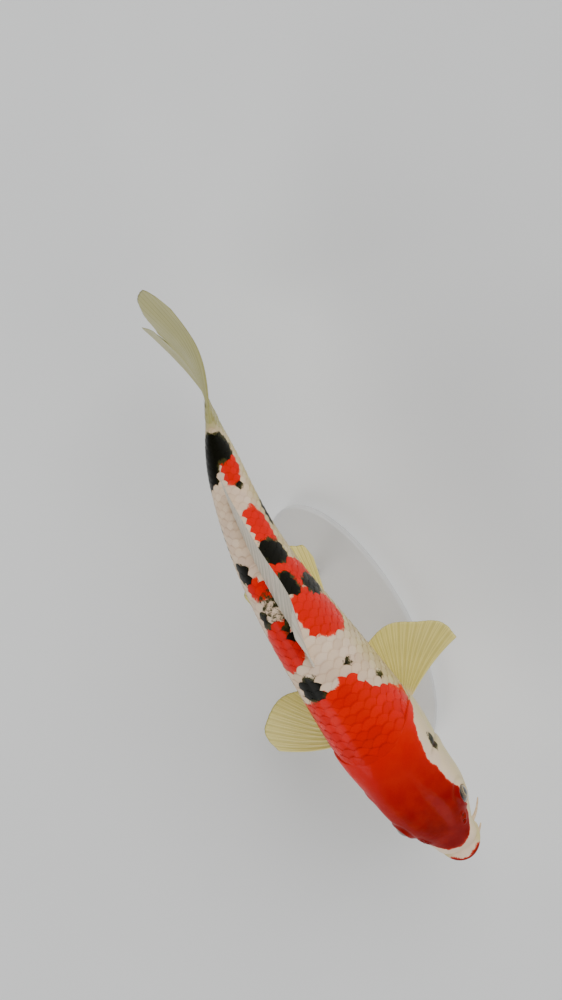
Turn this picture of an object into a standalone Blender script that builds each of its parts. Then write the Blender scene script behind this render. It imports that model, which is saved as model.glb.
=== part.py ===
"""A life-size koi carp of the three-coloured kind, held on a low display stand.

The frame: +Z up, the head towards -Y and the tail towards +Y, the fish's left side towards +X, and the
origin on the floor under the middle of the whole. Every size in this file is in millimetres until MM turns
a finished point into metres. Places along the fish are measured from the snout along its bent spine, and
directions round its body are angles in degrees from the back: 0 is up, 90 is the fish's left, 180 is down.
"""

import math

import bmesh
import bpy
from mathutils import Vector

MM = 0.001
GAP = 0.3  # between two pieces that meet
UP = Vector((0, 0, 1))

# The spine
AXIS_HEIGHT = 80.0  # of the spine above the floor
SNOUT_X, SNOUT_Y = 9.3, -137.5
TOTAL_LENGTH = 300.0
FIRST_HEADING = -5.4  # degrees from +Y towards +X
BENDS = ((106.0, 250.0, 25.0), (217.0, 269.0, -40.0))  # from, to, and by how many degrees

# The body's sections, each as (place along the spine, size)
NOSE = 6.5  # over this length the front end is rounded off
LEVEL = ((0, -6.5), (25, -3.5), (60, -0.5), (100, 0), (222, 0))  # of the widest point, over the spine
HALF_WIDTH = (
    (0, 9.6), (6, 10.2), (11, 11.4), (17, 14.0), (24, 17.0), (34, 18.5), (46, 19.3), (60, 20.0),
    (73, 19.8), (90, 18.6), (107, 17.2), (125, 15.5), (145, 13.4), (165, 11.4), (185, 9.5),
    (200, 7.8), (210, 5.8), (218, 3.7), (222, 2.6),
)
BACK = (
    (0, 5.0), (8, 8.8), (16, 13.0), (24, 16.5), (40, 22.0), (60, 26.2), (83, 28.8), (105, 29.6),
    (128, 27.8), (150, 23.8), (170, 18.8), (190, 14.2), (205, 12.4), (222, 12.8),
)
BELLY = (
    (0, 7.0), (8, 9.0), (16, 11.6), (24, 14.4), (40, 19.6), (60, 24.2), (83, 26.8), (105, 27.4),
    (128, 25.8), (150, 21.8), (167, 17.6), (182, 14.2), (198, 12.2), (210, 12.0), (222, 12.6),
)
BACK_SQUARENESS = ((0, 2.3), (24, 2.6), (60, 2.3), (110, 2.0), (222, 2.0))
BELLY_SQUARENESS = ((0, 2.2), (60, 2.4), (120, 2.4), (170, 2.1), (222, 2.0))

# Where the body is parted
NAPE, GILL_EDGE, THROAT = 61.0, 71.0, 47.0
WAIST, VENT, BODY_END = 120.0, 167.0, 222.0

# Head
EYE_PLACE, EYE_ANGLE, EYE_RADIUS, EYE_STANDS_OUT = 24.5, 68.0, 5.2, 1.5
NOSTRIL_PLACE, NOSTRIL_ANGLE, NOSTRIL_RADIUS = 14.5, 44.0, 1.3
GILL_COVER_MIDDLE, GILL_COVER_ANGLE = 57.5, 89.0
GILL_COVER_HALF_LENGTH, GILL_COVER_HALF_ANGLE = 12.6, 34.0
GILL_COVER_DEPTH, GILL_COVER_STANDS_OUT = 2.2, 0.5

# Stand
BASE_X, BASE_Y = 1.5, -37.2
BASE_LENGTH, BASE_WIDTH, BASE_HEIGHT, BASE_EDGE = 140.0, 56.0, 9.0, 1.5
ROD_RADIUS, ROD_FOOT_RADIUS, ROD_FOOT_HEIGHT, SOCKET_DEPTH = 2.0, 5.0, 3.0, 7.0
ROD_PLACES = {"stand_rod_front": 76.0, "stand_rod_rear": 136.0}

AROUND = 32  # faces round the body


def ease(start, end, x):
    """0 before start, 1 after end, and smooth between them."""
    t = min(max((x - start) / (end - start), 0.0), 1.0)
    return t * t * (3 - 2 * t)


def mix(a, b, share):
    return a + (b - a) * share


def along(knots, x):
    """The size at x on a smooth curve through the knots that never overshoots them."""
    places, sizes = [k[0] for k in knots], [k[1] for k in knots]
    x = min(max(x, places[0]), places[-1])
    last = len(knots) - 1
    i = max(j for j in range(last) if x >= places[j])
    slopes = [(sizes[j + 1] - sizes[j]) / (places[j + 1] - places[j]) for j in range(last)]

    def tangent(j):
        if j in (0, last):
            return slopes[0 if j == 0 else -1]
        before, after = slopes[j - 1], slopes[j]
        return 2 * before * after / (before + after) if before * after > 0 else 0.0

    width = places[i + 1] - places[i]
    t = (x - places[i]) / width
    start, end = tangent(i) * width, tangent(i + 1) * width
    rise = sizes[i + 1] - sizes[i]
    bend = 3 * rise - 2 * start - end
    return sizes[i] + t * start + t**2 * bend + t**3 * (start + end - 2 * rise)


def heading(place):
    turned = sum(turn * ease(start, end, place) for start, end, turn in BENDS)
    return math.radians(FIRST_HEADING + turned)


def spine_points():
    """The spine at every millimetre."""
    points = [Vector((SNOUT_X, SNOUT_Y, AXIS_HEIGHT))]
    for i in range(int(TOTAL_LENGTH) + 1):
        angle = heading(i + 0.5)
        points.append(points[-1] + Vector((math.sin(angle), math.cos(angle), 0)))
    return points


SPINE = spine_points()


def spine(place):
    """(point, direction towards the tail, direction towards the fish's left) of the spine. A place under 0
    lies in front of the snout."""
    i = min(max(int(math.floor(place)), 0), len(SPINE) - 2)
    angle = heading(place)
    back = Vector((math.sin(angle), math.cos(angle), 0))
    side = Vector((math.cos(angle), -math.sin(angle), 0))
    return SPINE[i].lerp(SPINE[i + 1], place - i), back, side


def outward(place, angle):
    """The direction at this angle round the spine."""
    side = spine(place)[2]
    return UP * math.cos(math.radians(angle)) + side * math.sin(math.radians(angle))


def skin(place, angle, grow=0.0):
    """A point of the body's surface, moved out by grow."""
    centre, _, side = spine(place)
    turn = math.radians(angle)
    across, upright = math.sin(turn), math.cos(turn)
    height, squareness = (BACK, BACK_SQUARENESS) if upright >= 0 else (BELLY, BELLY_SQUARENESS)
    power = 2 / along(squareness, place)
    rounded = math.sqrt(max(1 - max(1 - (place + grow) / NOSE, 0) ** 2, 0))
    x = (along(HALF_WIDTH, place) * rounded + grow) * math.copysign(abs(across) ** power, across)
    z = (along(height, place) * rounded + grow) * math.copysign(abs(upright) ** power, upright)
    return centre + side * x + UP * (along(LEVEL, place) + z)


def skin_normal(place, angle):
    forwards = skin(place + 0.5, angle) - skin(place - 0.5, angle)
    round_it = skin(place, angle + 1.5) - skin(place, angle - 1.5)
    return round_it.cross(forwards).normalized()


# ---------------------------------------------------------------- making objects


def clear_scene():
    for obj in list(bpy.data.objects):
        bpy.data.objects.remove(obj)


def material(name, colour, roughness, metallic=0.0):
    made = bpy.data.materials.new(name)
    made.use_nodes = True
    shader = made.node_tree.nodes["Principled BSDF"]
    shader.inputs["Base Color"].default_value = (*colour, 1)
    shader.inputs["Roughness"].default_value = roughness
    shader.inputs["Metallic"].default_value = metallic
    return made


def group(name):
    empty = bpy.data.objects.new(name, None)
    bpy.context.scene.collection.objects.link(empty)
    return empty


def add_object(name, bm, finish=None, parent=None):
    """The bmesh as an object, its points in millimetres. Without a finish it is a cutter."""
    bmesh.ops.scale(bm, verts=bm.verts, vec=(MM, MM, MM))
    mesh = bpy.data.meshes.new(name)
    bm.to_mesh(mesh)
    bm.free()
    mesh.shade_smooth()
    mesh.set_sharp_from_angle(angle=math.radians(50))
    obj = bpy.data.objects.new(name, mesh)
    bpy.context.scene.collection.objects.link(obj)
    obj.parent = parent
    if finish:
        mesh.materials.append(finish)
    else:
        obj.hide_render = True
        obj.display_type = "WIRE"
    return obj


def shaped_grid(columns, rows, place):
    """A grid with each of its points moved to place(u, v), where u and v run from 0 to 1. Points that
    meet are joined, so a side that comes back to the other one makes a tube, and a side of no length
    makes a pole."""
    bm = bmesh.new()
    bmesh.ops.create_grid(bm, x_segments=columns, y_segments=rows, size=0.5)
    for vertex in bm.verts:
        vertex.co = place(vertex.co.x + 0.5, vertex.co.y + 0.5)
    bmesh.ops.remove_doubles(bm, verts=bm.verts, dist=0.002)
    bmesh.ops.recalc_face_normals(bm, faces=bm.faces)
    return bm


def cut(obj, cutter):
    boolean = obj.modifiers.new("cut by " + cutter.name, "BOOLEAN")
    boolean.operation = "DIFFERENCE"
    boolean.solver = "EXACT"
    boolean.object = cutter


# ---------------------------------------------------------------- the body


def gill_line(angle):
    """Where the head ends: behind the gill covers at the sides, at the nape and at the throat."""
    turn = math.radians(angle)
    middle = NAPE if math.cos(turn) > 0 else THROAT
    return mix(middle, GILL_EDGE, math.sin(turn) ** 2)


def level_cut(place):
    return lambda angle: place


def body_length(start, end, rows, grow=0.0):
    """The closed length of the body between two cuts, each a place along the spine for every angle. Its
    ends run in to a point on the spine. A start of None is the rounded nose."""

    def middle_of(cut_line):
        return sum(cut_line(angle) for angle in (0, 90, 180, 270)) / 4

    def place(u, v):
        angle = 360 * u
        row = round(v * (rows + 2)) - 1  # the first and last rows are the ends' middles
        share = min(max(row / rows, 0), 1)
        if start is None:
            begin, share = -grow, share**1.6
        else:
            begin = start(angle)
        if row < 0:
            return skin(begin, 0, grow) if start is None else spine(middle_of(start))[0]
        if row > rows:
            return spine(middle_of(end))[0]
        return skin(mix(begin, end(angle), share), angle, grow)

    return shaped_grid(AROUND, rows + 2, place)


def make_body(finish, parent):
    half = GAP / 2

    def gill_front(angle):
        return gill_line(angle) - 1.4 * half

    def gill_back(angle):
        return gill_line(angle) + 1.4 * half

    head = body_length(None, gill_front, 18)
    front = body_length(gill_back, level_cut(WAIST - half), 8)
    rear = body_length(level_cut(WAIST + half), level_cut(VENT - half), 7)
    stalk = body_length(level_cut(VENT + half), level_cut(BODY_END), 8)
    lengths = {"head": head, "trunk_front": front, "trunk_rear": rear, "tail_stalk": stalk}
    return {name: add_object(name, bm, finish, parent) for name, bm in lengths.items()}


def whole_body_cutter():
    """The body a gap larger, which trims whatever grows out of it."""
    return add_object("whole_body", body_length(None, level_cut(BODY_END + GAP), 36, grow=GAP))


# ---------------------------------------------------------------- the head


def ball(centre, radius, turns=16, rings=10):
    bm = bmesh.new()
    bmesh.ops.create_uvsphere(bm, u_segments=turns, v_segments=rings, radius=radius)
    bmesh.ops.translate(bm, verts=bm.verts, vec=centre)
    return bm


def make_eye(name, angle, head, finish, parent):
    """An eyeball and its socket."""
    sinks = EYE_RADIUS - EYE_STANDS_OUT
    centre = skin(EYE_PLACE, angle) - skin_normal(EYE_PLACE, angle) * sinks
    eye = add_object(name, ball(centre, EYE_RADIUS), finish, parent)
    cut(head, add_object(name + "_socket", ball(centre, EYE_RADIUS + GAP)))
    return eye


def make_nostrils(head):
    for side in (-1, 1):
        centre = skin(NOSTRIL_PLACE, side * NOSTRIL_ANGLE, 0.4 * NOSTRIL_RADIUS)
        cut(head, add_object(f"nostril{side}", ball(centre, NOSTRIL_RADIUS, 8, 5)))


def gill_plate(side, grow=0.0, lift=GILL_COVER_STANDS_OUT):
    """A thin plate let into the side of the head, rounded behind and squarer in front."""
    bottom = -GILL_COVER_DEPTH - grow
    rim = 0.1 * GILL_COVER_DEPTH + lift / 2
    profile = ((0.0, bottom), (1.0, bottom), (1.0, rim), (0.86, lift), (0.5, lift), (0.0, lift))

    def place(u, v):
        reach, height = profile[round(v * (len(profile) - 1))]
        turn = 2 * math.pi * u
        power = mix(0.78, 1.0, (1 + math.cos(turn)) / 2)
        length = math.copysign(abs(math.cos(turn)) ** power, math.cos(turn))
        width = math.copysign(abs(math.sin(turn)) ** power, math.sin(turn))
        position = GILL_COVER_MIDDLE + (GILL_COVER_HALF_LENGTH + grow) * reach * length
        half_angle = GILL_COVER_HALF_ANGLE + math.degrees(grow / along(HALF_WIDTH, GILL_COVER_MIDDLE))
        angle = side * (GILL_COVER_ANGLE + half_angle * reach * width)
        return skin(position, angle) + skin_normal(position, angle) * height

    return shaped_grid(22, len(profile) - 1, place)


def make_gill_cover(name, side, body, finish, parent):
    """A cover over the gills, let into the head and reaching a little over the front of the trunk."""
    cover = add_object(name, gill_plate(side), finish, parent)
    recess = add_object(name + "_recess", gill_plate(side, GAP, 4 * GAP + GILL_COVER_DEPTH))
    cut(body["head"], recess)
    cut(body["trunk_front"], recess)
    return cover


def tapered_tube(route, radius, steps, turns, beside):
    """A closed tube along route(t), whose radius is radius(t), for t from 0 to 1. The route never runs along
    beside."""

    def place(u, v):
        row = round(v * (steps + 2)) - 1
        t = min(max(row / steps, 0), 1)
        centre = route(t)
        if row < 0 or row > steps:
            return centre
        direction = (route(t + 0.01) - route(t - 0.01)).normalized()
        first = direction.cross(beside).normalized()
        second = direction.cross(first)
        turn = 2 * math.pi * u
        return centre + (first * math.cos(turn) + second * math.sin(turn)) * radius(t)

    return shaped_grid(turns, steps + 2, place)


def lip_route(front, corner_place, half_width, corner_drop):
    """A lip's middle line from the fish's right corner of the mouth round the snout to its left one."""
    front_place, front_height = front

    def route(t):
        swing = mix(-90, 90, t)
        inwards = 1 - math.cos(math.radians(swing))
        centre, _, side = spine(mix(front_place, corner_place, inwards))
        height = front_height - corner_drop * inwards
        return centre + side * half_width * math.sin(math.radians(swing)) + UP * height

    return route


UPPER_LIP = lip_route((-1.9, -5.0), 8.0, 9.2, 5.6)
LOWER_LIP = lip_route((0.2, -10.0), 8.0, 8.2, 3.4)
# Each lip's route, its radius in the middle, and its radius at a corner.
LIPS = {"upper_lip": (UPPER_LIP, 2.4, 1.4), "lower_lip": (LOWER_LIP, 2.1, 1.2)}


def lip_tube(name, grow=0.0):
    route, middle, corner = LIPS[name]
    return tapered_tube(route, lambda t: mix(middle, corner, (2 * t - 1) ** 2) + grow, 12, 8, UP)


def make_lips(head, finish, parent):
    """The lips, and cutters a gap larger, which also trim the barbels."""
    cutters = []
    for name in LIPS:
        add_object(name, lip_tube(name), finish, parent)
        cutters.append(add_object(name + "_groove", lip_tube(name, GAP)))
        cut(head, cutters[-1])
    return cutters


# start: the share of the way round the upper lip from its middle to a corner, and how far out, back and up
# from it. direction: how far out, back and up a barbel goes by its length.
BARBELS = {
    "barbel_front": dict(
        start=(0.6, (0.9, 0.3, 0.3)), direction=(0.62, 0.38, -0.42), length=5.5, thick=0.75,
    ),
    "barbel_rear": dict(
        start=(0.94, (0.0, 0.9, -0.1)), direction=(0.55, 0.10, -0.75), length=11.0, thick=1.0,
    ),
}
BARBEL_CURL = 0.035  # by the square of its length, backwards
BARBEL_TIP = 0.32


def barbel_route(start, direction, length, side):
    out, back, up = direction

    def route(t):
        reach = length * t
        curl = BARBEL_CURL * reach**2
        return start + Vector((side * out * reach, back * reach + curl, up * reach))

    return route


def make_barbel(name, side, barbel, finish, parent):
    share, (out, back, up) = barbel["start"]
    start = UPPER_LIP(0.5 + side * share / 2) + Vector((side * out, back, up))
    route = barbel_route(start, barbel["direction"], barbel["length"], side)
    tube = tapered_tube(route, lambda t: mix(barbel["thick"], BARBEL_TIP, t**0.8), 6, 6, Vector((0, 1, 0)))
    return add_object(name, tube, finish, parent)


def make_barbels(cutters, finish, parent):
    """Two short barbels above the mouth and two longer ones at its corners."""
    for name, barbel in BARBELS.items():
        for side, side_name in ((-1, "_right"), (1, "_left")):
            made = make_barbel(name + side_name, side, barbel, finish, parent)
            for cutter in cutters:
                cut(made, cutter)


# ---------------------------------------------------------------- the fins

# root: (place, angle) where the first and the last ray leave the body. sweep: each one's angle to the
# backward direction, and bow: how far its tip curves back, as a share of the ray. lean: the direction round
# the body in which a ray spreads. rays: their lengths. lean and rays are given by the share of the way from
# the first ray to the last. cup: how far the middle of the fin stands out of its own plane. sunk: how deep
# its root lies. thick: at the root and at the edge. Side -1, the fish's right, turns the angles round.
PECTORAL = dict(root=((65, 126), (71, 137)), cup=2.2, sunk=3.0, thick=(2.0, 0.6), grid=(12, 6))
PELVIC = dict(
    root=((117, 146), (123, 163)), bow=(0.06, 0.06), lean=((0, 120), (1, 134)),
    rays=((0, 25), (0.15, 30), (0.45, 31), (0.8, 25), (1, 18)),
    cup=1.2, sunk=2.5, thick=(1.7, 0.6), grid=(10, 5),
)
FINS = {
    "dorsal_fin": dict(
        root=((106, 0), (183, 0)), side=1, sweep=(50, 26), bow=(0.1, 0.1),
        lean=((0, 16), (0.12, 36), (0.35, 48), (0.6, 46), (1, 12)),
        rays=((0, 22), (0.05, 28), (0.12, 25), (0.28, 18.5), (0.6, 15), (1, 13.5)),
        cup=0.0, sunk=2.5, thick=(1.5, 0.6), grid=(16, 4),
    ),
    "anal_fin": dict(
        root=((167.5, 180), (182, 180)), side=1, sweep=(62, 38), bow=(0.12, 0.12), lean=((0, 190), (1, 196)),
        rays=((0, 18), (0.14, 24), (0.45, 18), (1, 12)),
        cup=0.0, sunk=2.5, thick=(1.4, 0.6), grid=(8, 5),
    ),
    "pectoral_fin_left": dict(
        PECTORAL, side=1, sweep=(60.5, -8), bow=(-0.19, 0.05), lean=((0, 100), (1, 112)),
        rays=((0, 39), (0.1, 42), (0.3, 38.5), (0.5, 35), (0.75, 27), (1, 20)),
    ),
    "pectoral_fin_right": dict(
        PECTORAL, side=-1, sweep=(88, -2), bow=(0.3, 0.05), lean=((0, 105), (1, 112)),
        rays=((0, 36), (0.1, 38.5), (0.3, 36), (0.5, 31), (0.75, 22), (1, 16)),
    ),
    "pelvic_fin_left": dict(PELVIC, side=1, sweep=(19, -8)),
    "pelvic_fin_right": dict(PELVIC, side=-1, sweep=(39, 12)),
}
TAIL_RAYS = {  # by share of each lobe's height, upper and lower
    1: ((0, 50), (0.15, 54), (0.3, 59), (0.5, 62.5), (0.75, 62), (0.9, 58), (1, 50)),
    -1: ((0, 50), (0.25, 55), (0.5, 62), (0.75, 68.5), (0.9, 67), (1, 55)),
}
TAIL_ROOT, TAIL_HALF_ROOT, TAIL_FAN = 219.0, 11.9, 27.0
# Degrees by which each lobe leans over, half way out and at its tip. They lean opposite ways.
TAIL_TWIST = {1: (27.0, 28.0), -1: (17.0, 12.5)}
TAIL_THICK = (1.9, 0.6)
TAIL_FORK = 0.015  # share of each lobe's height left open between them


def fin_point(fin, u, v):
    """A point of the middle surface of a fin: u runs from the first ray to the last, v from root to edge."""
    (place_0, angle_0), (place_1, angle_1) = fin["root"]
    side = fin["side"]
    place, angle = mix(place_0, place_1, u), side * mix(angle_0, angle_1, u)
    root = skin(place, angle) - skin_normal(place, angle) * fin["sunk"]
    _, back, _ = spine(place)
    sweep = math.radians(mix(*fin["sweep"], u))
    lean = along(fin["lean"], u)
    length = (along(fin["rays"], u) + fin["sunk"]) * v
    point = root + (back * math.cos(sweep) + outward(place, side * lean) * math.sin(sweep)) * length
    point += back * mix(*fin["bow"], u) * length * v
    return point + outward(place, side * (lean - 90)) * fin["cup"] * math.sin(math.pi * u) * v


def tail_fin_point(lobe, u, v):
    """As fin_point, for one lobe of the tail fin: u runs from the fork to the outer edge."""
    height = lobe * u
    length = along(TAIL_RAYS[lobe], u)
    fan = math.radians(TAIL_FAN) * height
    place = TAIL_ROOT + length * v * math.cos(fan)
    rise = TAIL_HALF_ROOT * height + length * v * math.sin(fan)
    half_way, tip = TAIL_TWIST[lobe]
    roll = math.radians(mix(half_way, tip, ease(0.4, 1.0, v)) * mix(0.8, 1.0, u)) * ease(-0.35, 0.7, v)
    centre, _, side = spine(place)
    return centre + UP * rise * math.cos(roll) + side * rise * math.sin(roll)


def make_fin(name, point, grid, thick, body, finish, parent):
    """A sheet over the fin's middle surface, given its thickness, and trimmed where it leaves the body."""
    columns, rows = grid
    shares = []

    def place(u, v):
        shares.append(mix(1.0, thick[1] / thick[0], v**0.7))
        return point(u, v)

    fin = add_object(name, shaped_grid(columns, rows, place), finish, parent)
    weights = fin.vertex_groups.new(name="thickness")
    for index, share in enumerate(shares):
        weights.add([index], share, "REPLACE")
    solid = fin.modifiers.new("thickness", "SOLIDIFY")
    solid.thickness = thick[0] * MM
    solid.offset = 0
    solid.vertex_group = weights.name
    cut(fin, body)


def make_fins(body, finish, parent):
    for name, fin in FINS.items():

        def point(u, v, fin=fin):
            return fin_point(fin, u, v)

        make_fin(name, point, fin["grid"], fin["thick"], body, finish, parent)
    for lobe, name in ((1, "tail_fin_upper"), (-1, "tail_fin_lower")):

        def lobe_point(u, v, lobe=lobe):
            return tail_fin_point(lobe, mix(TAIL_FORK, 1.0, u), v)

        make_fin(name, lobe_point, (9, 9), TAIL_THICK, body, finish, parent)


# ---------------------------------------------------------------- the stand


def make_base(finish, parent):
    """A flat oval block with a softened edge, its underside on the floor."""
    bm = bmesh.new()
    bmesh.ops.create_circle(bm, cap_ends=True, segments=48, radius=1.0)
    bmesh.ops.scale(bm, verts=bm.verts, vec=(BASE_WIDTH / 2, BASE_LENGTH / 2, 1))
    bmesh.ops.translate(bm, verts=bm.verts, vec=(BASE_X, BASE_Y, 0))
    lifted = bmesh.ops.extrude_face_region(bm, geom=bm.faces[:])
    top = [v for v in lifted["geom"] if isinstance(v, bmesh.types.BMVert)]
    bmesh.ops.translate(bm, verts=top, vec=UP * BASE_HEIGHT)
    rim = [e for e in bm.edges if all(v in top for v in e.verts)]
    bmesh.ops.bevel(
        bm, geom=rim, offset=BASE_EDGE, offset_type="OFFSET", affect="EDGES", segments=2, profile=0.5,
        material=-1,
    )
    bmesh.ops.recalc_face_normals(bm, faces=bm.faces)
    return add_object("stand_base", bm, finish, parent)


def turned(profile, centre, turns=16):
    """A solid turned about the vertical through centre, from (radius, height) pairs, foot first."""

    def place(u, v):
        radius, height = profile[round(v * (len(profile) - 1))]
        turn = 2 * math.pi * u
        return Vector((centre.x + radius * math.cos(turn), centre.y + radius * math.sin(turn), height))

    return shaped_grid(turns, len(profile) - 1, place)


def make_rods(body, finish, parent):
    """Each rod stands on the base and ends in a blind hole in the belly."""
    for name, position in ROD_PLACES.items():
        belly = skin(position, 180)
        top = belly.z + SOCKET_DEPTH
        foot = BASE_HEIGHT + GAP
        shoulder = foot + ROD_FOOT_HEIGHT
        profile = (
            (0, foot), (ROD_FOOT_RADIUS, foot), (ROD_FOOT_RADIUS, shoulder - 1),
            (ROD_FOOT_RADIUS - 1, shoulder), (ROD_RADIUS, shoulder), (ROD_RADIUS, top), (0, top),
        )
        add_object(name, turned(profile, belly), finish, parent)
        wide, deep = ROD_RADIUS + GAP, top + GAP
        hole = ((0, belly.z - 5), (wide, belly.z - 5), (wide, deep), (0, deep))
        cutter = add_object(name + "_socket", turned(hole, belly))
        cut(body["trunk_front" if position < WAIST else "trunk_rear"], cutter)


def main():
    clear_scene()
    koi, stand = group("koi"), group("stand")
    flesh = material("flesh", (0.66, 0.56, 0.44), 0.30)
    red = material("red_skin", (0.62, 0.02, 0.008), 0.28)
    lip = material("lip", (0.72, 0.50, 0.38), 0.35)
    fin = material("fin", (0.62, 0.60, 0.40), 0.40)
    eye = material("eye", (0.02, 0.018, 0.012), 0.05)
    lacquer = material("stand_lacquer", (0.72, 0.71, 0.68), 0.45)
    steel = material("stand_steel", (0.60, 0.60, 0.60), 0.30, 1.0)

    body = make_body(flesh, koi)
    head = body["head"]
    head.data.materials[0] = red
    trimmer = whole_body_cutter()
    for side, side_name in ((-1, "right"), (1, "left")):
        make_eye("eye_" + side_name, side * EYE_ANGLE, head, eye, koi)
        make_gill_cover("gill_cover_" + side_name, side, body, red, koi)
    make_nostrils(head)
    make_barbels([trimmer, *make_lips(head, lip, koi)], lip, koi)
    make_fins(trimmer, fin, koi)
    make_base(lacquer, stand)
    make_rods(body, steel, stand)


main()
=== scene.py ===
"""The looks of the koi carp on its display stand.

Sizes are in millimetres, and MM turns finished points into the frame's metres. As in the construction, a
place is measured from the snout along the bent spine, and an angle in degrees round the body from the back:
0 is up, 90 is the fish's left, -90 its right and 180 is down. Whole arrays of points are worked out at
once.
"""

import math

import bmesh
import bpy
import numpy as np
from mathutils import Matrix, Vector


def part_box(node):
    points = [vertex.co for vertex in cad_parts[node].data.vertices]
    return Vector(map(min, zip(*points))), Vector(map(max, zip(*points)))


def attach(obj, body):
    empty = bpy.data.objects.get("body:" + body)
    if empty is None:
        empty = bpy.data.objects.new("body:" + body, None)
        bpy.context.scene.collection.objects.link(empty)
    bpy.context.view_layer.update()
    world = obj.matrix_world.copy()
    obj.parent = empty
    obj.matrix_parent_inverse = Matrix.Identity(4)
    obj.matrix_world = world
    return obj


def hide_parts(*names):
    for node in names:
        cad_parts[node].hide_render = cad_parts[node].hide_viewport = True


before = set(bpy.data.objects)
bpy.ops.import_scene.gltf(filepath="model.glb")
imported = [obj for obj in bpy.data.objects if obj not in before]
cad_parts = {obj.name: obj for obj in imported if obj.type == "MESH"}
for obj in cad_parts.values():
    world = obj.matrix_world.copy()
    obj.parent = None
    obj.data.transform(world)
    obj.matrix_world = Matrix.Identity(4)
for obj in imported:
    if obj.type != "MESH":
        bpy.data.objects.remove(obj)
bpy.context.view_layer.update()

MM = 0.001
BODY = "root"
UP = np.array([0.0, 0.0, 1.0])
FLESH_NODES = (
    "head", "trunk_front", "trunk_rear", "tail_stalk",
    "gill_cover_left", "gill_cover_right", "upper_lip", "lower_lip",
)

# ---------------------------------------------------------------- the body's sizes, as in the construction

AXIS_HEIGHT = 80.0
SNOUT_X, SNOUT_Y = 9.3, -137.5
SPINE_LENGTH = 300
FIRST_HEADING = -5.4
BENDS = ((106.0, 250.0, 25.0), (217.0, 269.0, -40.0))
NOSE = 6.5
LEVEL = ((0, -6.5), (25, -3.5), (60, -0.5), (100, 0), (222, 0))
HALF_WIDTH = (
    (0, 9.6), (6, 10.2), (11, 11.4), (17, 14.0), (24, 17.0), (34, 18.5), (46, 19.3), (60, 20.0),
    (73, 19.8), (90, 18.6), (107, 17.2), (125, 15.5), (145, 13.4), (165, 11.4), (185, 9.5), (200, 7.8),
    (210, 5.8), (218, 3.7), (222, 2.6),
)
BACK = (
    (0, 5.0), (8, 8.8), (16, 13.0), (24, 16.5), (40, 22.0), (60, 26.2), (83, 28.8), (105, 29.6),
    (128, 27.8), (150, 23.8), (170, 18.8), (190, 14.2), (205, 12.4), (222, 12.8),
)
BELLY = (
    (0, 7.0), (8, 9.0), (16, 11.6), (24, 14.4), (40, 19.6), (60, 24.2), (83, 26.8), (105, 27.4),
    (128, 25.8), (150, 21.8), (167, 17.6), (182, 14.2), (198, 12.2), (210, 12.0), (222, 12.6),
)
BACK_SQUARENESS = ((0, 2.3), (24, 2.6), (60, 2.3), (110, 2.0), (222, 2.0))
BELLY_SQUARENESS = ((0, 2.2), (60, 2.4), (120, 2.4), (170, 2.1), (222, 2.0))
BODY_END, WEDGE = 222.0, 15.0  # past its end the flesh runs out as a wedge in the tail fin
WEDGE_EDGE = 0.04  # the wedge's width where it ends, by that of the body's end
NAPE, GILL_EDGE, THROAT = 61.0, 71.0, 47.0
EYE_PLACE, EYE_ANGLE, EYE_RADIUS, EYE_STANDS_OUT = 24.5, 68.0, 5.2, 1.5
NOSTRIL_PLACE, NOSTRIL_ANGLE = 14.5, 44.0
# The tail fin: the lengths of the upper and the lower lobe's rays, its root, and how far each lobe turns,
# in degrees, half way out and at its tip.
TAIL_RAYS = {
    1: ((0, 50), (0.15, 54), (0.3, 59), (0.5, 62.5), (0.75, 62), (0.9, 58), (1, 50)),
    -1: ((0, 50), (0.25, 55), (0.5, 62), (0.75, 68.5), (0.9, 67), (1, 55)),
}
TAIL_ROOT, TAIL_HALF_ROOT, TAIL_FAN = 219.0, 11.9, 27.0
TAIL_TWIST = {1: (27.0, 28.0), -1: (17.0, 12.5)}
TAIL_THICK, TAIL_COUNT, TAIL_GRID = (1.9, 0.6), 10, (100, 60)

# ---------------------------------------------------------------- curves


def ease(start, end, x):
    """0 before start, 1 after end, and smooth between them."""
    t = np.clip((x - start) / (end - start), 0.0, 1.0)
    return t * t * (3 - 2 * t)


def mix(a, b, share):
    return a + (b - a) * share


def hill(x, middle, width):
    return np.exp(-(((x - middle) / width) ** 2))


def along(knots, x):
    """The size at x on a smooth curve through the knots that never overshoots them."""
    places, sizes = np.array(knots, float).T
    steps = np.diff(places)
    slopes = np.diff(sizes) / steps
    before, after = slopes[:-1], slopes[1:]
    together = before + after
    inner = np.where(before * after > 0, 2 * before * after / np.where(together == 0, 1, together), 0)
    tangents = np.concatenate([slopes[:1], inner, slopes[-1:]])
    x = np.clip(x, places[0], places[-1])
    i = np.clip(np.searchsorted(places, x, side="right") - 1, 0, len(steps) - 1)
    t = (x - places[i]) / steps[i]
    start, end, rise = tangents[i] * steps[i], tangents[i + 1] * steps[i], sizes[i + 1] - sizes[i]
    return sizes[i] + t * start + t**2 * (3 * rise - 2 * start - end) + t**3 * (start + end - 2 * rise)


def heading(place):
    return np.radians(FIRST_HEADING + sum(turn * ease(start, end, place) for start, end, turn in BENDS))


def spine_points():
    turns = heading(np.arange(SPINE_LENGTH + 1) + 0.5)
    steps = np.stack([np.sin(turns), np.cos(turns)], -1)
    return np.array([SNOUT_X, SNOUT_Y]) + np.concatenate([[[0.0, 0.0]], np.cumsum(steps, axis=0)])


SPINE = spine_points()


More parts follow.
